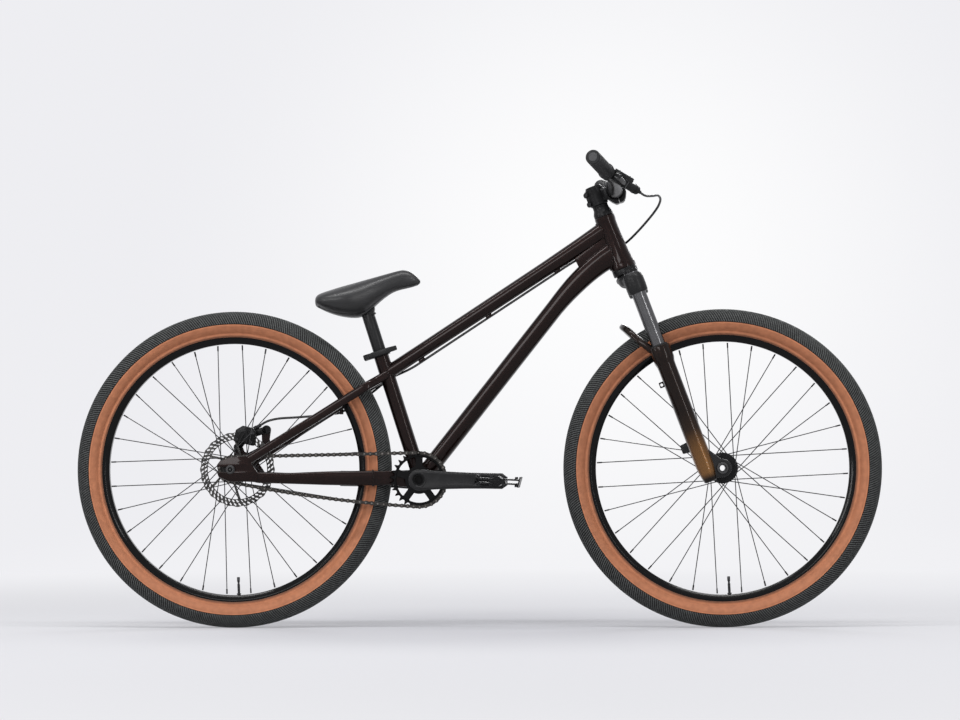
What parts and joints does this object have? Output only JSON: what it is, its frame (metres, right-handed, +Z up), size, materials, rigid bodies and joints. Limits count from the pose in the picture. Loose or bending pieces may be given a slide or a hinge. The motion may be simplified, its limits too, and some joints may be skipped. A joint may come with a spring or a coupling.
{
  "type": "dirt jump bicycle",
  "caption": "Hardtail dirt jump bicycle with a sprung fork, laced wheels, single-speed chain drive and a rear disc brake.",
  "frame": {"origin": "on the ground, midway between the two wheel axles, in the bicycle's middle plane", "axes": "+X forward along the bicycle, +Y to the rider's left, +Z up; the chain is on the -Y side"},
  "size_m": [1.698, 0.7834, 0.9728],
  "materials": {
    "frame_paint": "gloss dark brown-black metallic paint",
    "fork_paint": "satin dark brown-black paint, bronze towards the axle",
    "black_metal": "black anodised",
    "black_forged": "matte black forged and anodised",
    "steel": "ground and brushed",
    "chrome": "polished hard chrome",
    "chain_steel": "oiled dark steel",
    "rubber": "matte moulded",
    "tyre": "dark grey tread with tan sidewalls",
    "saddle_cover": "satin black cover over a padded shell",
    "hose": "black jacket",
    "pad": "matte friction material"
  },
  "bodies": {
    "frame": {"head_tube": "frame_paint", "top_tube": "frame_paint", "down_tube": "frame_paint", "seat_tube": "frame_paint", "bottom_bracket_shell": "frame_paint", "chainstay_yoke": "frame_paint", "chainstay_right": "frame_paint", "chainstay_left": "frame_paint", "seatstay_right": "frame_paint", "seatstay_left": "frame_paint", "dropout_right": "frame_paint", "dropout_left": "frame_paint", "seat_clamp": "black_metal", "headset_upper_bearing": "steel", "headset_lower_bearing": "black_metal", "bottom_bracket_cup_right": "black_metal", "bottom_bracket_cup_left": "black_metal", "brake_caliper": "black_metal", "brake_hose": "hose", "chain": "chain_steel", "rear_axle": "black_metal"},
    "steering": {"fork_steerer": "black_metal", "fork_crown": "fork_paint", "stanchion_right": "chrome", "stanchion_left": "chrome", "headset_top_cover": "black_metal", "stem": "black_metal", "stem_faceplate": "black_metal", "stem_top_cap": "black_metal", "handlebar": "black_metal", "grip_right": "rubber", "grip_left": "rubber", "brake_lever_body": "black_metal"},
    "fork_slider": {"fork_lowers": "fork_paint", "front_axle": "black_metal"},
    "front_wheel": {"front_tyre": "tyre", "front_inner_tube": "rubber", "front_rim": "black_metal", "front_hub": "black_metal"},
    "rear_wheel": {"rear_tyre": "tyre", "rear_inner_tube": "rubber", "rear_rim": "black_metal", "rear_hub": "black_metal", "brake_rotor": "steel"},
    "rear_sprocket": {"rear_cog": "black_forged"},
    "cranks": {"crank_arm_right": "black_forged", "crank_arm_left": "black_forged", "crank_spindle": "black_metal", "chainring": "black_forged", "pedal_axle_right": "black_metal", "pedal_axle_left": "black_metal"},
    "right_pedal": {"pedal_right": "black_metal"},
    "left_pedal": {"pedal_left": "black_metal"},
    "lever": {"brake_lever": "black_forged"},
    "inner_pad": {"brake_pad_inner": "pad"},
    "outer_pad": {"brake_pad_outer": "pad"},
    "seat_post": {"seatpost": "black_forged"},
    "seat": {"saddle": "saddle_cover"},
    "clamp_lever": {"seat_clamp_lever": "black_forged"}
  },
  "joints": [
    {"name": "steering_turn", "type": "hinge", "parent": "frame", "child": "steering", "pos_m": [0.31512, 0, 0.74273], "axis": [-0.3535, 0, 0.9354], "range_deg": [-60, 60], "deforming": ["brake_hose"]},
    {"name": "fork_travel", "type": "slide", "parent": "steering", "child": "fork_slider", "axis": [-0.3535, 0, 0.9354], "range_m": [0, 0.1], "stiffness_N_per_m": 6000, "springref_m": -0.02},
    {"name": "front_wheel_spin", "type": "hinge", "parent": "fork_slider", "child": "front_wheel", "pos_m": [0.515, 0, 0.334], "axis": [0, 1, 0], "continuous": true},
    {"name": "rear_wheel_spin", "type": "hinge", "parent": "frame", "child": "rear_wheel", "pos_m": [-0.515, 0, 0.334], "axis": [0, 1, 0], "continuous": true},
    {"name": "crank_turn", "type": "hinge", "parent": "frame", "child": "cranks", "pos_m": [-0.12011, 0, 0.3112], "axis": [0, 1, 0], "continuous": true, "deforming": ["chain"]},
    {"name": "rear_sprocket_turn", "type": "hinge", "parent": "frame", "child": "rear_sprocket", "pos_m": [-0.515, 0, 0.334], "axis": [0, 1, 0], "continuous": true},
    {"name": "right_pedal_spin", "type": "hinge", "parent": "cranks", "child": "right_pedal", "pos_m": [0.04987, -0.137, 0.30823], "axis": [0, 1, 0], "continuous": true},
    {"name": "left_pedal_spin", "type": "hinge", "parent": "cranks", "child": "left_pedal", "pos_m": [-0.29008, 0.137, 0.31417], "axis": [0, 1, 0], "continuous": true},
    {"name": "brake_lever_pull", "type": "hinge", "parent": "steering", "child": "lever", "pos_m": [0.31457, -0.24965, 0.91514], "axis": [-0.5591, -0.014, -0.829], "range_deg": [0, 12], "stiffness_Nm_per_rad": 1, "springref_deg": -3.44},
    {"name": "inner_pad_travel", "type": "slide", "parent": "frame", "child": "inner_pad", "axis": [0, 1, 0], "range_m": [0, 0.00031]},
    {"name": "outer_pad_travel", "type": "slide", "parent": "frame", "child": "outer_pad", "axis": [0, -1, 0], "range_m": [0, 0.00031]},
    {"name": "seat_post_height", "type": "slide", "parent": "frame", "child": "seat_post", "axis": [-0.3024, 0, 0.9532], "range_m": [-0.03, 0.06]},
    {"name": "saddle_tilt", "type": "hinge", "parent": "seat_post", "child": "seat", "pos_m": [-0.23471, 0, 0.67246], "axis": [0, 1, 0], "range_deg": [-8, 8]},
    {"name": "seat_clamp_turn", "type": "hinge", "parent": "frame", "child": "clamp_lever", "pos_m": [-0.23242, -0.0158, 0.56985], "axis": [0.3024, 0, -0.9532], "range_deg": [0, 150]}
  ],
  "couplings": [
    {"joint": "rear_sprocket_turn", "follows": "crank_turn", "ratio": 2.1538},
    {"joint": "inner_pad_travel", "follows": "brake_lever_pull", "m_per_rad": 0.0014324},
    {"joint": "outer_pad_travel", "follows": "brake_lever_pull", "m_per_rad": 0.0014324}
  ]
}
